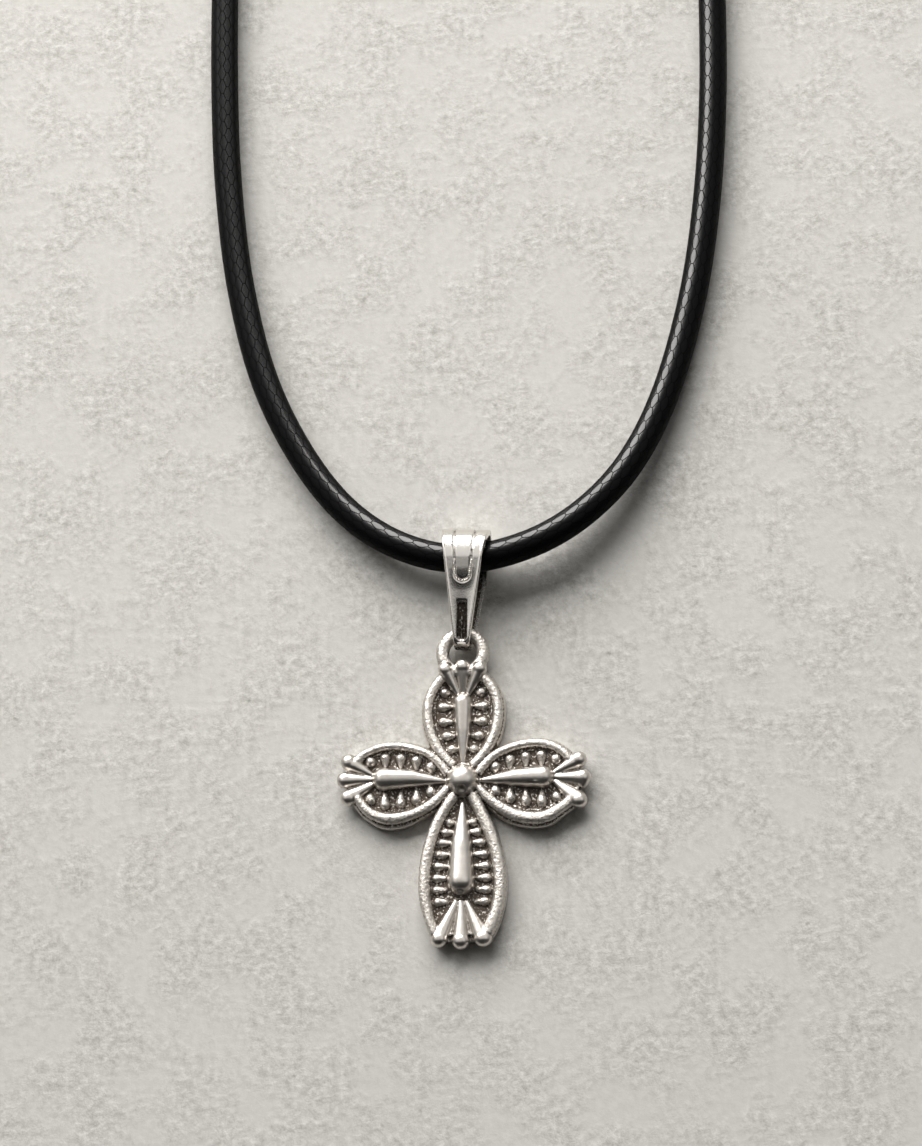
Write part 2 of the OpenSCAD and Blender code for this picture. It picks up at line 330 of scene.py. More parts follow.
def give_value(obj, name, values):
    """Keeps one number for each vertex, which a material can read by name."""
    attribute = obj.data.attributes.new(name, "FLOAT", "POINT")
    attribute.data.foreach_set("value", np.asarray(values, np.float32))


def take_value(obj, name):
    """Reads the number that each vertex keeps, and deletes it from the mesh."""
    attribute = obj.data.attributes[name]
    values = np.zeros(len(obj.data.vertices))
    attribute.data.foreach_get("value", values)
    obj.data.attributes.remove(attribute)
    return values


def keep_above_floor(obj):
    co = points_of(obj)
    co[:, 2] = np.maximum(co[:, 2], 0)
    set_points(obj, co)


def turned(co, turn, middle_y=0):
    """Places turned about the upright line through x = 0 and middle_y."""
    x, y = co[:, 0].copy(), co[:, 1] - middle_y
    co[:, 0] = x * math.cos(turn) - y * math.sin(turn)
    co[:, 1] = x * math.sin(turn) + y * math.cos(turn) + middle_y
    return co


def smooth_step(x, low, high):
    """Goes softly from 0 to 1 while x goes from low to high."""
    t = np.clip((x - low) / (high - low), 0, 1)
    return t * t * (3 - 2 * t)


# Materials


class Sock:
    """A socket of a graph's nodes, on which sums add Math nodes."""

    def __init__(self, graph, socket):
        self.graph = graph
        self.socket = socket

    def math(self, operation, *values, swap=False):
        """Adds a Math node on this socket and other values, this one last if swapped."""
        given = list(values) + [self] if swap else [self] + list(values)
        return self.graph.add("ShaderNodeMath", {"operation": operation}, dict(enumerate(given)))

    def __add__(self, other):
        return self.math("ADD", other)

    def __radd__(self, other):
        return self.math("ADD", other, swap=True)

    def __sub__(self, other):
        return self.math("SUBTRACT", other)

    def __rsub__(self, other):
        return self.math("SUBTRACT", other, swap=True)

    def __mul__(self, other):
        return self.math("MULTIPLY", other)

    def __rmul__(self, other):
        return self.math("MULTIPLY", other, swap=True)


class Graph:
    """The nodes of a material or of the world, and the shader that they feed."""

    def __init__(self, owner, shader, constants):
        owner.use_nodes = True
        self.owner = owner
        self.tree = owner.node_tree
        self.shader = self.tree.nodes[shader]
        for key, value in constants.items():
            self.shader.inputs[key].default_value = value

    def add(self, kind, settings=None, inputs=None, output=0):
        """Adds a node: its settings are set first, then the values or links of its sockets."""
        node = self.tree.nodes.new(kind)
        for key, value in (settings or {}).items():
            if key == "stops":
                self.set_stops(node.color_ramp, value)
            else:
                setattr(node, key, value)
        for key, value in (inputs or {}).items():
            if isinstance(value, Sock):
                self.tree.links.new(value.socket, node.inputs[key])
            else:
                node.inputs[key].default_value = value
        return Sock(self, node.outputs[output])

    @staticmethod
    def set_stops(ramp, stops):
        """Gives a ramp its greys, each a place and a shade."""
        while len(ramp.elements) < len(stops):
            ramp.elements.new(1)
        for element, (place, shade) in zip(ramp.elements, stops):
            element.position = place
            element.color = (shade, shade, shade, 1)

    def feed(self, socket, value):
        """Links a value to one of the shader's own sockets."""
        self.tree.links.new(value.socket, self.shader.inputs[socket])

    def object_place(self):
        return self.add("ShaderNodeTexCoord", output="Object")

    def attribute(self, name):
        return self.add("ShaderNodeAttribute", {"attribute_name": name}, output="Fac")

    def part(self, vector, axis):
        """One number of a vector: X, Y or Z."""
        return self.add("ShaderNodeSeparateXYZ", inputs={"Vector": vector}, output=axis)

    def noise(self, place, size, detail=2.0, roughness=0.5):
        """Soft noise whose features are about size metres wide."""
        given = {"Vector": place, "Scale": 1 / size, "Detail": detail, "Roughness": roughness}
        return self.add("ShaderNodeTexNoise", inputs=given)

    def fade(self, value, low, high, start, end):
        """Goes from start to end while a value goes from low to high."""
        given = {"Value": value, "From Min": low, "From Max": high, "To Min": start, "To Max": end}
        return self.add("ShaderNodeMapRange", inputs=given)

    def ramp(self, value, *stops):
        return self.add("ShaderNodeValToRGB", {"stops": stops}, {"Fac": value})

    def mix(self, factor, first, second):
        """Mixes two colours, each a link or three numbers."""
        given = {0: factor}
        for key, colour in ((6, first), (7, second)):
            given[key] = colour if isinstance(colour, Sock) else (*colour, 1)
        return self.add("ShaderNodeMix", {"data_type": "RGBA"}, given, output=2)

    def bump(self, height, depth, strength, under=None):
        """Bump whose full height is depth metres."""
        given = {"Height": height, "Distance": depth, "Strength": strength}
        if under is not None:
            given["Normal"] = under
        return self.add("ShaderNodeBump", inputs=given)


def new_finish(name, constants):
    return Graph(bpy.data.materials.new(name), "Principled BSDF", constants)


def antique_silver():
    """Cast silver, rough and speckled, dark with patina in its hollows and with painted shade down
    its flanks, and bright on its smooth forms.
    """
    finish = new_finish("antique_silver", {})
    place = finish.object_place()
    # Patina in the hollows, and painted shade down the flanks
    hollow_and_shade = finish.attribute("patina")
    rough = finish.attribute("grain")
    mottle = finish.noise(place, 0.0007, detail=3.0, roughness=0.6)
    speck = finish.noise(place, 0.00023)
    fine = finish.noise(place, 0.00009, detail=1.0)
    spots = (speck - 0.5) * (rough * (hollow_and_shade * 3 + 1.4) + 0.15) + (mottle - 0.5) * 0.4
    dark = finish.ramp(hollow_and_shade * 0.8 + rough * 0.14 + spots, (0.14, 0), (0.66, 1))
    bright = finish.mix(mottle, (0.53, 0.495, 0.455), (0.76, 0.725, 0.68))
    finish.feed("Base Color", finish.mix(dark, bright, (0.085, 0.065, 0.05)))
    finish.feed("Metallic", 1 - dark * 0.4)
    finish.feed("Roughness", 0.27 + dark * 0.2 + rough * 0.08 + mottle * 0.1)
    rubbed = finish.bump(fine, 0.00002, strength=0.35)
    grainy = speck * (rough * 0.92 + 0.08)
    finish.feed("Normal", finish.bump(grainy, 0.0001, strength=0.75, under=rubbed))
    return finish.owner


def polished_silver():
    """Polished sheet with a faint rub, dark with patina where polish can't reach, and with painted
    shade on its inner side and under its tip.
    """
    finish = new_finish("polished_silver", {"Metallic": 1.0})
    place = finish.object_place()
    # Patina in the grooves and slot, and painted shade on the inner side and under the tip
    hollow_and_shade = finish.attribute("patina")
    rub = finish.noise(place, 0.0009, detail=3.0, roughness=0.6)
    fine = finish.noise(place, 0.0002)
    dark = finish.ramp(hollow_and_shade + (fine - 0.5) * (hollow_and_shade * 1.6 + 0.2), (0.3, 0), (0.85, 1))
    bright = finish.mix(rub, (0.82, 0.785, 0.735), (0.9, 0.87, 0.825))
    finish.feed("Base Color", finish.mix(dark, bright, (0.045, 0.035, 0.027)))
    finish.feed("Roughness", 0.14 + rub * 0.1 + dark * 0.25)
    finish.feed("Normal", finish.bump(fine, 0.00001, strength=0.3))
    return finish.owner


def black_wax():
    """Waxed braid: black and half glossy, with dull seams round its plates and fine threads."""
    finish = new_finish("black_wax", {"Specular IOR Level": 0.04, "Coat Roughness": 0.2})
    lay = finish.add("ShaderNodeUVMap", {"uv_map": "braid"})
    column, plate = finish.part(lay, "X"), finish.part(lay, "Y")
    beside = column.math("WRAP", 1.0, -1.0).math("ABSOLUTE")
    along = plate.math("WRAP", 0.5, -0.5).math("ABSOLUTE")
    side = beside - (1 - along * 4) * (PLATE_BULGE / 2) - 0.5
    in_even = side.math("LESS_THAN", 0.0)
    end = along + in_even * (0.5 - along * 2)
    column_w = math.pi * CORD_D / BRAID_COLUMNS
    gap = (side.math("ABSOLUTE") * column_w).math("MINIMUM", end * PLATE_LENGTH)
    seam = finish.ramp(gap * (1 / SEAM_W), (0.25, 1), (0.8, 0))
    stretched = finish.add("ShaderNodeMapping", inputs={"Vector": lay, "Scale": (4, 0.7, 1)})
    threads = finish.noise(stretched, 1.0, roughness=0.6)
    smear = finish.noise(finish.object_place(), 0.004)
    finish.feed("Base Color", finish.mix(seam, (0.004, 0.004, 0.0043), (0.001, 0.001, 0.001)))
    finish.feed("Roughness", 0.35 + threads * 0.15 + seam * 0.3)
    rubbed = finish.ramp((column - RUBBED_COLUMN).math("ABSOLUTE") * 0.5, (0.25, 1), (0.6, 0))
    finish.feed("Coat Weight", (1 - seam) * (0.03 + rubbed * (0.55 + threads * 0.4 + smear * 0.4)))
    finish.feed("Normal", finish.bump((1 - seam) + threads * 0.5, 0.00002, strength=0.35))
    return finish.owner


def plain_steel():
    """Turned steel with fine lines round it."""
    finish = new_finish("plain_steel", {"Metallic": 1.0})
    place = finish.object_place()
    round_it = finish.add("ShaderNodeMapping", inputs={"Vector": place, "Scale": (1, 0.04, 0.04)})
    lines = finish.noise(round_it, 0.00012, detail=3.0, roughness=0.6)
    cloud = finish.noise(place, 0.003)
    finish.feed("Base Color", finish.mix(cloud, (0.56, 0.555, 0.54), (0.68, 0.675, 0.66)))
    finish.feed("Roughness", 0.26 + lines * 0.14 + cloud * 0.06)
    finish.feed("Normal", finish.bump(lines, 0.00002, strength=0.5))
    return finish.owner


def plaster():
    """Pale plaster: smooth patches between gritty ones, and a few dark specks."""
    finish = new_finish("plaster", {"Roughness": 0.9, "Specular IOR Level": 0.2})
    place = finish.object_place()
    cloud = finish.noise(place, 0.03)
    patch = finish.noise(place, 0.007, detail=4.0, roughness=0.6)
    patch = finish.ramp(patch, (0.4, 0), (0.58, 1))
    grit = finish.noise(place, 0.0009, detail=4.0, roughness=0.75)
    speck = finish.noise(place, 0.0013)
    tone = 0.62 + (cloud - 0.5) * 0.2 - patch * 0.12 + (grit - 0.5) * (0.7 + patch * 2.0)
    spot = finish.ramp(speck, (0.68, 0), (0.76, 1)) * (0.15 + patch * 0.4)
    pale = finish.mix(tone, (0.40, 0.388, 0.362), (0.68, 0.668, 0.642))
    finish.feed("Base Color", finish.mix(spot, pale, (0.24, 0.23, 0.21)))
    finish.feed("Normal", finish.bump(grit * (0.3 + patch * 0.7), 0.0004, strength=0.3))
    return finish.owner


def paint(obj, material):
    obj.data.materials.clear()
    obj.data.materials.append(material)


# Camera


def make_camera():
    """The camera at the photo's angle, above the floor and a little to the right."""
    lean, side = math.sin(LEAN), math.sin(SIDE_LEAN)
    back = Vector((side, -lean, math.sqrt(1 - lean ** 2 - side ** 2)))
    right = Vector((0, 1, 0)).cross(back).normalized()
    up = back.cross(right)
    data = bpy.data.cameras.new("camera")
    data.sensor_width = SENSOR
    data.lens = SENSOR * DISTANCE * PIXELS_PER_MM / IMAGE_HEIGHT
    data.clip_start = 0.01
    data.clip_end = 10
    camera = bpy.data.objects.new("camera", data)
    bpy.context.scene.collection.objects.link(camera)
    camera.matrix_world.col[0] = (*right, 0)
    camera.matrix_world.col[1] = (*up, 0)
    camera.matrix_world.col[2] = (*back, 0)
    camera.matrix_world.col[3] = (*((Vector(TARGET) + back * DISTANCE) * MM), 1)
    bpy.context.scene.camera = camera


# Cord


def middle_line():
    """Points on the smooth curve through the route."""
    route = np.array(ROUTE, float)
    last = len(route) - 1
    slope = np.array([(route[min(i + 1, last)] - route[max(i - 1, 0)]) / 2 for i in range(last + 1)])
    line = []
    for i in range(last):
        for t in np.arange(ROUTE_STEPS) / ROUTE_STEPS:
            line.append(
                route[i] * (2 * t ** 3 - 3 * t ** 2 + 1) + slope[i] * (t ** 3 - 2 * t ** 2 + t)
                + route[i + 1] * (3 * t ** 2 - 2 * t ** 3) + slope[i + 1] * (t ** 3 - t ** 2)
            )
    line.append(route[last])
    line = np.array(line)
    line[:, 2] = np.maximum(line[:, 2], CORD_Z)
    return line


def distances(line):
    """How far along a line each of its points lies."""
    return np.concatenate([[0], np.cumsum(np.linalg.norm(np.diff(line, axis=0), axis=1))])


def cord_skin(line):
    """Rings of places round the cord's middle line, flat where they would sink into the floor."""
    far = distances(line)
    way = np.gradient(line, far, axis=0)
    at = np.linspace(0, far[-1], round(far[-1] / CORD_RING_STEP) + 1)
    middle = np.stack([np.interp(at, far, line[:, k]) for k in range(3)], axis=-1)
    heading = np.stack([np.interp(at, far, way[:, k]) for k in range(3)], axis=-1)
    heading = heading / np.linalg.norm(heading, axis=-1, keepdims=True)
    across = np.cross(heading * (1, 1, 0), (0, 0, 1))
    across = across / np.linalg.norm(across, axis=-1, keepdims=True)
    up = np.cross(across, heading)
    turn = (np.arange(CORD_SIDES) * 2 * math.pi / CORD_SIDES)[None, :, None]
    skin = middle[:, None] + CORD_D / 2 * (np.cos(turn) * across[:, None] + np.sin(turn) * up[:, None])
    skin[..., 2] = np.maximum(skin[..., 2], 0)
    return skin


def make_cord():
    """The cord: a round tube along its route, on which the braid is laid out."""
    line = middle_line()
    skin = cord_skin(line)
    rings, count = skin.shape[:2]
    corner = np.arange(rings * count).reshape(rings, count)
    here, there = corner[:-1], corner[1:]
    walls = np.stack([here, there, np.roll(there, -1, axis=1), np.roll(here, -1, axis=1)], axis=-1)
    ends = [list(corner[0]), list(corner[-1][::-1])]
    mesh = bpy.data.meshes.new("braided_cord")
    mesh.from_pydata((skin * MM).reshape(-1, 3).tolist(), [], walls.reshape(-1, 4).tolist() + ends)
    obj = bpy.data.objects.new("braided_cord", mesh)
    bpy.context.scene.collection.objects.link(obj)
    lay_braid(mesh, rings, count, distances(line)[-1])
    take(obj)
    bpy.ops.object.shade_smooth()
    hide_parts("cord")
    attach(obj, "root")
    return obj, line


def lay_braid(mesh, rings, count, length):
    """UV map of the cord: round it in columns of the braid, and along it in plates."""
    layer = mesh.uv_layers.new(name="braid")
    corners = np.zeros(len(mesh.loops), int)
    mesh.loops.foreach_get("vertex_index", corners)
    ring, side = corners // count, corners % count
    round_it = side * BRAID_COLUMNS / count
    along_it = ring / (rings - 1) * round(length / PLATE_LENGTH)
    walls = (rings - 1) * count
    wrapped = np.zeros(len(mesh.loops), bool)
    wrapped[: walls * 4] = np.repeat((np.arange(walls) % count) == count - 1, 4)
    round_it[wrapped & (side == 0)] = BRAID_COLUMNS
    layer.data.foreach_set("uv", np.stack([round_it, along_it], axis=-1).ravel())


# Cast cross


def sphere(at, r, segments=20):
    clear()
    bpy.ops.mesh.primitive_uv_sphere_add(
        segments=segments, ring_count=segments // 2, radius=r, location=at)
    return settle(bpy.context.object)


def hulled(balls, segments=20):
    """A smooth form drawn tight over some balls, each a place and a radius."""
    obj = joined([sphere(at, r, segments) for at, r in balls], "form")
    edit(obj)
    bpy.ops.mesh.convex_hull()
    done()
    return obj


def plate_quarter(p, r, low_u, high_u):
    """One quarter of a petal's plate, bounded by an arc, with a rounded edge."""
    clear()
    bpy.ops.mesh.primitive_cylinder_add(
        vertices=int(2 * math.pi * r / PLATE_SIDE_STEP), radius=r, depth=PLATE_T,
        location=(p.wide, p.half - r, PLATE_T / 2))
    obj = settle(bpy.context.object)
    edit(obj)
    bpy.ops.mesh.bevel(offset=PLATE_ROUND, segments=4, affect="EDGES")
    cuts = [
        ((low_u, 0, 0), (-1, 0, 0)),
        ((high_u, 0, 0), (1, 0, 0)),
        ((0, -PLATE_OVERLAP_V, 0), (0, -1, 0)),
    ]
    for place, normal in cuts:
        bpy.ops.mesh.select_all(action="SELECT")
        bpy.ops.mesh.bisect(plane_co=place, plane_no=normal, clear_outer=True)
    bpy.ops.mesh.select_all(action="SELECT")
    bpy.ops.mesh.convex_hull()
    done()
    return obj


def bent_bar(p, r, turn, inset, wire_r, z):
    """A round bar that runs from a petal's widest place along its outline, turned so far."""
    clear()
    bpy.ops.mesh.primitive_circle_add(
        vertices=14, radius=wire_r, location=(p.wide, p.half - inset, z), rotation=(0, math.pi / 2, 0))
    obj = settle(bpy.context.object)
    edit(obj)
    bpy.ops.mesh.spin(
        steps=24, angle=-turn, center=(p.wide, p.half - r, z), axis=(0, 0, 1))
    bpy.ops.mesh.select_all(action="SELECT")
    bpy.ops.mesh.fill_holes(sides=0)
    done()
    return obj


def rim_turns(p, inset):
    """How far a bar turns from the widest place, inwards and outwards. The outward turn has a
    limit, because a tight arc would turn back before it reached the petal's end."""
    inner = math.asin((p.wide - RIM_FROM) / (p.inner_r - inset))
    outer = math.asin(min(RIM_TURN_LIMIT, (p.end - RIM_SHORT_OF_END - p.wide) / (p.outer_r - inset)))
    return inner, -outer


def half_petal(p):
    """Everything on one side of a petal's middle line."""
    parts = [
        plate_quarter(p, p.inner_r, 0, p.wide + PLATE_OVERLAP_U),
        plate_quarter(p, p.outer_r, p.wide - PLATE_OVERLAP_U, p.end),
    ]
    line = p.rim.inset + LINE_PAST_RIM
    for inset, wire_r, z in ((p.rim.inset, p.rim.r, RIM_Z), (line, LINE_R, LINE_Z)):
        for r, turn in zip((p.inner_r, p.outer_r), rim_turns(p, inset)):
            parts.append(bent_bar(p, r, turn, inset, wire_r, z))
    for u, bead_v, bar_v in p.beads:
        bar, bead = ((u, bar_v, BEAD_Z), BEAD_BAR_R), ((u, bead_v, BEAD_Z), p.bead_r)
        parts.append(hulled([bar, bead], segments=14))
    f = p.fingers
    parts += finger(f, FINGER_ROOT_GAP, f.side_len, math.radians(f.angle))
    parts.append(finger_ridge(f))
    return joined(parts, "half_petal")


def finger(f, gap, length, turn):
    """One finger: a cone that widens from its root and ends in a ball."""
    root = Vector((f.root_u, gap, FINGER_ROOT_Z))
    tip = Vector((f.root_u + length * math.cos(turn), length * math.sin(turn), f.z))
    neck = tip + (root - tip).normalized() * f.r * FINGER_NECK_AT
    cone = hulled([(root, FINGER_THIN_R), (neck, f.r * FINGER_NECK)])
    return [cone, sphere(tip, f.r)]


def finger_ridge(f):
    """Thin ridge that runs between two fingers."""
    turn = math.radians(f.angle / 2)
    root = (f.root_u + RIDGE_FROM, FINGER_ROOT_GAP / 2, FINGER_ROOT_Z)
    far = RIDGE_SHARE * f.side_len
    tip = (f.root_u + far * math.cos(turn), far * math.sin(turn) + RIDGE_LIFT, f.z + RIDGE_LIFT)
    return hulled([(root, RIDGE_THIN_R), (tip, RIDGE_R)], segments=10)


def drop_shape(p):
    """The balls that a petal's teardrop is drawn over, each a place and a radius."""
    d = p.drop
    z = max(PLATE_T, d.r) + d.lift
    belly_u = d.thin_u + BELLY_AT * (d.round_u - d.thin_u)
    rows = ((d.thin_u, TEARDROP_THIN_R), (belly_u, BELLY_SHARE * d.r), (d.round_u, d.r))
    return [((u, 0, z - TEARDROP_SINK * (d.r - r)), r) for u, r in rows]


def middle_of_petal(p):
    """The teardrop on its low skirt, and the middle finger."""
    shape = drop_shape(p)
    foot = [((at[0], 0, PLATE_T), r) for at, r in shape]
    drop = hulled(shape + foot, segments=28)
    skirt = hulled([((at[0], 0, 0), r + SKIRT_OUT) for at, r in shape], segments=24)
    co = points_of(skirt)
    co[:, 2] = PLATE_T + SKIRT_UP * co[:, 2] / (p.drop.r + SKIRT_OUT)
    set_points(skirt, co)
    return [drop, skirt] + finger(p.fingers, 0, p.fingers.mid_len, 0)


def whole_petal(p):
    """One petal, its half mirrored over its middle line."""
    half = half_petal(p)
    apply_modifier(half, "MIRROR", use_axis=(False, True, False), use_mirror_merge=False)
    return joined([half] + middle_of_petal(p), "petal_" + p.name)


def moved(co, p, arm):
    """Places of a petal in the cross, after the casting's own small shifts across the petal."""
    co = np.array(co, float)
    u, v = co[:, 0], co[:, 1]
    body, tip = (np.interp(v, *zip(*knots)) for knots in (arm.moved, arm.tip_moved))
    root_u = p.fingers.root_u
    at_tip = smooth_step(u, root_u + TIP_FADE[0], root_u + TIP_FADE[1])
    co[:, 1] += smooth_step(u, *MOVED_FADE) * (body * (1 - at_tip) + tip * at_tip)
    if arm.mirrored:
        co[:, 0] *= -1
    return turned(co, math.radians(arm.turn))


def arm_copy(obj, p, arm):
    """A copy of a petal with its own mesh, put into its place in the cross."""
    twin = obj.copy()
    twin.data = obj.data.copy()
    bpy.context.scene.collection.objects.link(twin)
    set_points(twin, moved(points_of(twin), p, arm))
    edit(twin)
    if arm.mirrored:
        bpy.ops.mesh.flip_normals()
    done()
    return twin


def ring_bar(at, r, wire_r):
    clear()
    bpy.ops.mesh.primitive_torus_add(
        major_radius=r, minor_radius=wire_r, major_segments=64, minor_segments=20, location=at)
    return settle(bpy.context.object)


def cast_parts():
    """All the separate forms that the casting is fused from."""
    parts = [
        sphere((0, 0, BALL_R + BALL_LIFT), BALL_R, segments=40),
        ring_bar((0, 0, COLLAR_Z), COLLAR_R, COLLAR_WIRE),
        ring_bar((0, RING_Y, RING_Z), RING_R, RING_WIRE_R),
    ]
    for p in PETALS:
        petal = whole_petal(p)
        parts += [arm_copy(petal, p, arm) for arm in p.arms]
        bpy.data.objects.remove(petal)
    return parts


def averaged(co, edges, rounds):
    """Positions after each vertex has moved to its neighbours' middle, so many times."""
    count = len(co)
    ends = np.concatenate([edges[:, 0], edges[:, 1]])
    others = np.concatenate([edges[:, 1], edges[:, 0]])
    degree = np.maximum(np.bincount(ends, minlength=count), 1)
    for _ in range(rounds):
        co = np.stack(
            [np.bincount(ends, weights=co[others, k], minlength=count) / degree for k in range(3)],
            axis=-1)
    return co


def sunk(obj, rounds):
    """How far each vertex lies below its smoothed surroundings."""
    edges = np.zeros(len(obj.data.edges) * 2, int)
    obj.data.edges.foreach_get("vertices", edges)
    co = points_of(obj)
    low = averaged(co, edges.reshape(-1, 2), rounds) - co
    return np.einsum("ij,ij->i", low, normals_of(obj))


def cone_gap(co, start, end):
    """How far places lie outside a cone with round ends, each end a place and a radius."""
    (a, a_r), (b, b_r) = start, end
    a, b = np.array(a, float), np.array(b, float)
    share = np.clip((co - a) @ (b - a) / ((b - a) @ (b - a)), 0, 1)
    return np.linalg.norm(co - a - share[:, None] * (b - a), axis=1) - (a_r + share * (b_r - a_r))


def smooth_forms():
    """The polished forms of the cross as cones: teardrops and fingers."""
    cones = []
    for p in PETALS:
        f = p.fingers
        balls = drop_shape(p)
        bars = list(zip(balls[:-1], balls[1:]))
        for side in (-1, 0, 1):
            gap, turn = side * FINGER_ROOT_GAP, side * math.radians(f.angle)
            length = f.side_len if side else f.mid_len
            tip = (f.root_u + length * math.cos(turn), length * math.sin(turn), f.z)
            bars.append((((f.root_u, gap, FINGER_ROOT_Z), FINGER_THIN_R), (tip, f.r)))
        for arm in p.arms:
            for (a, a_r), (b, b_r) in bars:
                a, b = moved([a, b], p, arm)
                cones.append(((a, a_r), (b, b_r)))
    return cones


def rough_share(co):
    """1 where the casting is left rough, 0 on the ball, the teardrops and the fingers."""
    gap = np.linalg.norm(co - (0, 0, BALL_R + BALL_LIFT), axis=1) - BALL_R
    for start, end in smooth_forms():
        gap = np.minimum(gap, cone_gap(co, start, end))
    return smooth_step(gap, 0.05, 0.2)


def cast_body():
    """The forms of the cross fused into one body with soft inner corners."""
    obj = joined(cast_parts(), "cast_cross")
    apply_modifier(obj, "REMESH", mode="VOXEL", voxel_size=CAST_VOXEL, use_smooth_shade=True)
    return apply_modifier(obj, "SMOOTH", factor=0.5, iterations=2)


def add_grain(obj, weights):
    """Roughens the casting's skin by as much as each vertex's weight says."""
    group = obj.vertex_groups.new(name="rough")
    for index, weight in enumerate(weights):
        if weight > 0.02:
            group.add([index], float(weight), "REPLACE")
    grit = bpy.data.textures.new("grit", "CLOUDS")
    grit.noise_scale = GRAIN_SIZE
    grit.noise_depth = 1
    apply_modifier(
        obj, "DISPLACE", texture=grit, strength=GRAIN_DEEP, mid_level=0.5, vertex_group="rough")
    obj.vertex_groups.clear()


def cast_patina_and_shade(obj, co, no, rough, grain):
    """How dark the casting is: patina in hollows and creases and on its rough field, and painted
    shade down its flanks. It goes by how far each vertex's normal points up, and by its height
    over the floor."""
    up, z = no[:, 2], co[:, 2]
    field = smooth_step(up, 0.55, 0.9) * smooth_step(-z, -1.5, -1.25) * (z > 0.9)
    deep = sunk(obj, rounds=14) * 7 + sunk(obj, rounds=70) * 3
    creases = np.clip(sunk(obj, rounds=9) * 12 - 0.2, 0, 0.9)
    patina = deep * (0.35 + 0.65 * rough) + 0.4 * field * rough + creases
    # Painted shade: the flanks darken as their normals turn away from straight up
    flank_shade = grain * smooth_step(-up, -0.8, -0.3) + (1 - grain) * smooth_step(-up, -0.4, 0.05)
    return np.clip(patina + 0.4 * flank_shade * smooth_step(z, 0.9, 1.15), 0, 1)


def sink_pits(obj, no, patina):
    """Sinks the small pits into the casting, and returns its patina and painted shade with the pits
    dark.
    """
    co = points_of(obj)
    for place, size, depth in PITS:
        pit = smooth_step(size - np.linalg.norm(co - place, axis=1), 0, size * 0.6)
        co -= no * (pit * depth)[:, None]
        inside = 1.25 * size - np.linalg.norm(co - place, axis=1)
        patina = np.maximum(patina, smooth_step(inside, 0, size))
    set_points(obj, co)
    return patina


def thin_out(obj, **kept):
    """Thins the mesh to its share of triangles. Each vertex keeps the nearest old one's values."""
    tree = KDTree(len(obj.data.vertices))
    for index, place in enumerate(points_of(obj)):
        tree.insert(place, index)
    tree.balance()
    triangles = sum(len(face.vertices) - 2 for face in obj.data.polygons)
    apply_modifier(obj, "DECIMATE", ratio=min(1.0, CAST_TRIANGLES / triangles))
    nearest = [tree.find(place)[1] for place in points_of(obj)]
    for name, values in kept.items():
        give_value(obj, name, values[nearest])


def make_cross():
    """The cast cross, with grain on its rough parts, pits, patina in its hollows and painted shade
    down its flanks.
    """
    obj = cast_body()
    co, no = points_of(obj), normals_of(obj)
    rough = rough_share(co)
    grain = rough * (0.4 + 0.6 * smooth_step(co[:, 2], 0.8, 1.1))
    add_grain(obj, rough * smooth_step(co[:, 2], 0.9, 1.3))
    patina = sink_pits(obj, no, cast_patina_and_shade(obj, co, no, rough, grain))
    thin_out(obj, patina=patina, grain=grain)
    keep_above_floor(obj)
    shrink(obj)
    bpy.ops.object.shade_smooth()
    paint(obj, antique_silver())
    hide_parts("cross")
    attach(obj, "root")


# Bail


def bail_profile():
    """The sheet's outer side seen from the side: how far along it each place lies, the places as
    (y, z), the ways out of the sheet there, and how far along it the flat front starts."""
    run = math.dist(FOLD_MID, TIP_MID)
    rise = math.atan2(FOLD_MID[1] - TIP_MID[1], FOLD_MID[0] - TIP_MID[0])
    slope = rise + math.asin((FOLD_R - TIP_R) / run)
    over_fold = np.linspace(-math.pi / 2, math.pi / 2 + slope, FOLD_POINTS)
    round_tip = np.linspace(math.pi / 2 + slope, 1.5 * math.pi, TIP_POINTS)
    places, ways = [], []
    for middle, r, angles in ((FOLD_MID, FOLD_R, over_fold), (TIP_MID, TIP_R, round_tip)):
        way = np.stack([np.cos(angles), np.sin(angles)], axis=-1)
        places.append(np.array(middle) + r * way)
        ways.append(way)
    places = np.concatenate(places + [places[0][:1]])
    ways = np.concatenate(ways + [ways[0][:1]])
    front = FOLD_R * (over_fold[-1] - over_fold[0])
    return Profile(distances(places), places, ways, front)


def bail_half_width(y):
    """Half the bail's width at a place along it, seen from the front."""
    low, high = TIP_MID[0] - TIP_R, FOLD_MID[0] + FOLD_R
    return (BAIL_TIP_W + (BAIL_W - BAIL_TIP_W) * (y - low) / (high - low)) / 2


def on_bail(profile, down, x, up):
    """Places at a distance down the front, across it and above its sheet."""
    at = np.asarray(down, float) + profile.front
    columns = (*profile.places.T, *profile.ways.T)
    y, z, way_y, way_z = (np.interp(at, profile.far, column) for column in columns)
    return np.stack([np.broadcast_to(x, at.shape), y + up * way_y, z + up * way_z], axis=-1)


def leg_v(down):
    """Half the width of the U at a distance down the front: its legs spread towards the fold."""
    return LEG_V + LEG_SPREAD * np.clip(LEG_END - down, 0, LEG_SPREAD_RUN)


def leg_distance(down, x):
    """How far a place lies from the middle of the U that comes over the fold."""
    beside = np.abs(np.abs(x) - leg_v(down))
    below = np.abs(np.hypot(x, down - LEG_END) - LEG_V)
    return np.where(down < LEG_END, beside, below)


def edge_distance(down, x, half):
    """How far a place lies inside the front's outline, whose lower corners are round."""
    side = half - np.abs(x)
    low = RIM_TURNS_AT - down
    corner = RIM_CORNER - np.hypot(np.maximum(RIM_CORNER - side, 0), np.maximum(RIM_CORNER - low, 0))
    return np.where(low < RIM_CORNER, corner, side)


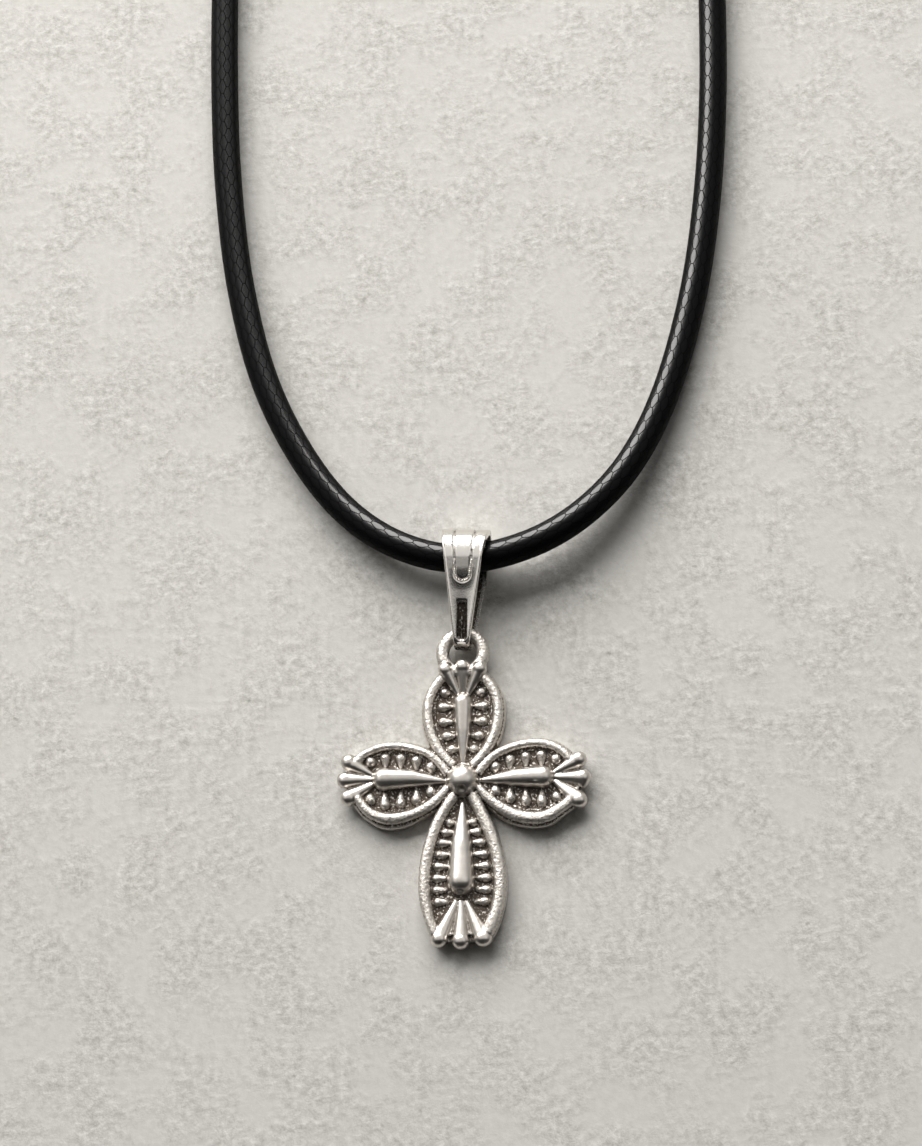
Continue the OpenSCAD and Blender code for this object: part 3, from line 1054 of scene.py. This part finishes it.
def slot_relief(down, x):
    """The slot from 0 to 1, with a round lower end, and the seam along its middle."""
    corner = SLOT_TO - SLOT_W / 2
    sides = smooth_step(SLOT_W / 2 - np.abs(x), *SLOT_WALL)
    low_end = smooth_step(SLOT_W / 2 - np.hypot(x, np.maximum(down - corner, 0)), *SLOT_WALL)
    slot = np.minimum(sides, low_end) * smooth_step(down, SLOT_FROM - 0.3, SLOT_FROM + 0.3)
    seam = slot * smooth_step(-np.abs(x), -SEAM_HALF_W, -0.02)
    return slot, seam * smooth_step(down, SEAM_FROM, SEAM_FROM + 1)


def bail_relief(down, x, half):
    """Height of the bail's relief, and how dark it is."""
    edge = edge_distance(down, x, half)
    on_front = smooth_step(down, SIDE_RIM_FROM - 1, SIDE_RIM_FROM) * (down < RIM_TURNS_AT + 0.1)
    beside_rim = np.abs(edge - 0.5 * SIDE_RIM_W)
    rim = smooth_step(-beside_rim, -0.5 * SIDE_RIM_W, -0.1 * SIDE_RIM_W) * on_front
    inner = np.maximum(half - SIDE_RIM_W, 0.1)
    trough = smooth_step(down, TROUGH_FROM, TROUGH_FROM + 2.5)
    trough = trough * smooth_step(edge, SIDE_RIM_W * 0.8, SIDE_RIM_W * 1.3)
    dip = trough * np.clip(1 - (x / inner) ** 2, 0, 1) * (down < RIM_TURNS_AT)
    leg = smooth_step(-leg_distance(down, x), -LEG_W * 0.5, -LEG_W * 0.3)
    leg = leg * smooth_step(down, LEG_BEHIND, LEG_BEHIND + 0.8) * (down < LEG_END + 2)
    slot, seam = slot_relief(down, x)
    height = SIDE_RIM_UP * rim - TROUGH_DEEP * dip - LEG_DEEP * leg
    height = height - SLOT_DEEP * (slot - SEAM_SHARE * seam)
    height = height - EDGE_DEEP * smooth_step(np.abs(x) - half, -EDGE_W, 0)

    # Painted shade where the tip turns down round the ring
    under = smooth_step(down, RIM_TURNS_AT, RIM_TURNS_AT + 0.15) * smooth_step(-down, -11.5, -10.5)
    in_u = (down < LEG_END + LEG_V) * (np.abs(x) < leg_v(down)) * smooth_step(down, -0.4, 1.2)
    dark = slot * (0.8 + 0.2 * smooth_step(down, SLOT_FROM, SEAM_FROM)) - SEAM_SHARE * seam
    dark = dark + 0.6 * leg * (1 - rim) + 0.16 * dip + 0.75 * under + 0.15 * in_u
    return height, np.clip(dark, 0, 1)


def milgrain(profile):
    """The row of small beads that lies in the U, no two of them quite alike."""
    clear()
    bpy.ops.mesh.primitive_uv_sphere_add(segments=10, ring_count=6, radius=MILGRAIN_R)
    bead = bpy.context.object
    leg_run = LEG_END - MILGRAIN_FROM
    whole = 2 * leg_run + math.pi * LEG_V
    beads = []
    chance = random.Random(3)
    for step in range(round(whole / MILGRAIN_STEP) + 1):
        far = min(step * MILGRAIN_STEP, whole)
        if far < leg_run:
            down = LEG_END - leg_run + far
            x = -leg_v(down)
        elif far < leg_run + math.pi * LEG_V:
            turn = (far - leg_run) / LEG_V
            down, x = LEG_END + LEG_V * math.sin(turn), -LEG_V * math.cos(turn)
        else:
            down = LEG_END - (far - leg_run - math.pi * LEG_V)
            x = leg_v(down)
        copy = bead.copy()
        copy.data = bead.data.copy()
        bpy.context.scene.collection.objects.link(copy)
        copy.scale = [chance.uniform(*MILGRAIN_SIZES)] * 3
        x += chance.uniform(-MILGRAIN_STRAY, MILGRAIN_STRAY)
        copy.location = on_bail(profile, down, x, MILGRAIN_R * 0.2 - LEG_DEEP)
        beads.append(copy)
    bpy.data.objects.remove(bead)
    return joined(beads, "milgrain")


def bail_sheet(profile):
    """The plain sheet wrapped round the cord and the ring, the number of its outer vertices, and
    for each vertex how far down the front and how far across it lies, and half the width there."""
    clear()
    bpy.ops.mesh.primitive_grid_add(x_subdivisions=BAIL_COLUMNS, y_subdivisions=BAIL_ROWS, size=2)
    obj = bpy.context.object
    grid = points_of(obj)
    down = (grid[:, 1] + 1) / 2 * profile.far[-1] - profile.front
    flat = on_bail(profile, down, 0, 0)
    half = bail_half_width(flat[:, 1])
    flat[:, 0] = grid[:, 0] * half
    set_points(obj, flat)
    measures = {"down": down, "across": flat[:, 0], "half": half}
    for name, values in measures.items():
        give_value(obj, name, values)
    edit(obj)
    bpy.ops.mesh.remove_doubles(threshold=0.001)
    bpy.ops.mesh.normals_make_consistent(inside=False)
    done()
    outer = len(obj.data.vertices)
    apply_modifier(obj, "SOLIDIFY", thickness=BAIL_T, offset=-1, use_even_offset=True)
    return obj, outer, [take_value(obj, name) for name in measures]


def make_bail():
    """The bail: one sheet wrapped round the cord and the ring, with relief on its front."""
    profile = bail_profile()
    obj, outer, (down, x, half) = bail_sheet(profile)
    height, dark = bail_relief(down, x, half)
    height[outer:] = 0
    # Painted shade on the sheet's inner side, darkest away from its edges
    dark[outer:] = 0.45 + 0.5 * smooth_step(half[outer:] - np.abs(x[outer:]), 0.3, 0.45)
    co = points_of(obj)
    co += on_bail(profile, down, 0, height) - on_bail(profile, down, 0, 0)
    on_back = smooth_step(down, RIM_TURNS_AT + 0.8, RIM_TURNS_AT + 2.2)
    to_fold = profile.far[-1] - profile.front - down
    co[:, 0] += BACK_SHIFT * on_back * smooth_step(to_fold, 0, 3)
    set_points(obj, co)
    grains = milgrain(profile)
    give_value(obj, "patina", dark)
    give_value(grains, "patina", np.zeros(len(grains.data.vertices)))
    obj = joined([obj, grains], "folded_bail")
    set_points(obj, turned(points_of(obj), -BAIL_TURN, TIP_MID[0]))
    keep_above_floor(obj)
    shrink(obj)
    bpy.ops.object.shade_smooth_by_angle(angle=math.radians(50))
    paint(obj, polished_silver())
    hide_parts("bail")
    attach(obj, "root")


# Floor and lights


def make_floor():
    clear()
    bpy.ops.mesh.primitive_plane_add(size=FLOOR_SIDE)
    floor = bpy.context.object
    floor.name = "floor"
    paint(floor, plaster())


def make_light(name, at, aim, size, power, on_floor=True):
    """A soft rectangular light, with its places in millimetres. One that isn't for the floor is
    seen only in what mirrors it."""
    data = bpy.data.lights.new(name, "AREA")
    data.shape = "RECTANGLE"
    data.size, data.size_y = size[0] * MM, size[1] * MM
    data.energy = power
    data.color = LAMP_COLOUR
    lamp = bpy.data.objects.new(name, data)
    bpy.context.scene.collection.objects.link(lamp)
    lamp.location = Vector(at) * MM
    lamp.rotation_mode = "QUATERNION"
    lamp.rotation_quaternion = (Vector(aim) - Vector(at)).to_track_quat("-Z", "Y")
    lamp.visible_diffuse = on_floor


def make_lights():
    """A wide window from the top of the picture, a white board that only metal mirrors, and a
    room that is bright towards the window, and dark towards the viewer and straight overhead."""
    make_light("board", at=(0, 120, 700), aim=(0, 120, 0), size=(2400, 670), power=3.7, on_floor=False)
    make_light("window", at=(-220, 665, 440), aim=(0, 20, 0), size=(1000, 560), power=15.2)
    scene = bpy.context.scene
    scene.view_settings.view_transform = "Standard"
    world = bpy.data.worlds.new("room")
    scene.world = world
    sky = Graph(world, "Background", {"Color": ROOM_COLOUR})
    way = sky.add("ShaderNodeTexCoord", output="Generated")
    north = sky.fade(sky.part(way, "Y"), low=-0.4, high=0.6, start=0.02, end=0.55)
    overhead = sky.fade(sky.part(way, "Z"), low=0.75, high=0.92, start=1.0, end=0.0)
    sky.feed("Strength", north * overhead)


make_camera()
cord, cord_line = make_cord()
paint(cord, black_wax())
make_cross()
make_bail()
paint(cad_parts["clasp"], plain_steel())
(cord_line * MM).tolist()
make_floor()
make_lights()
clear()
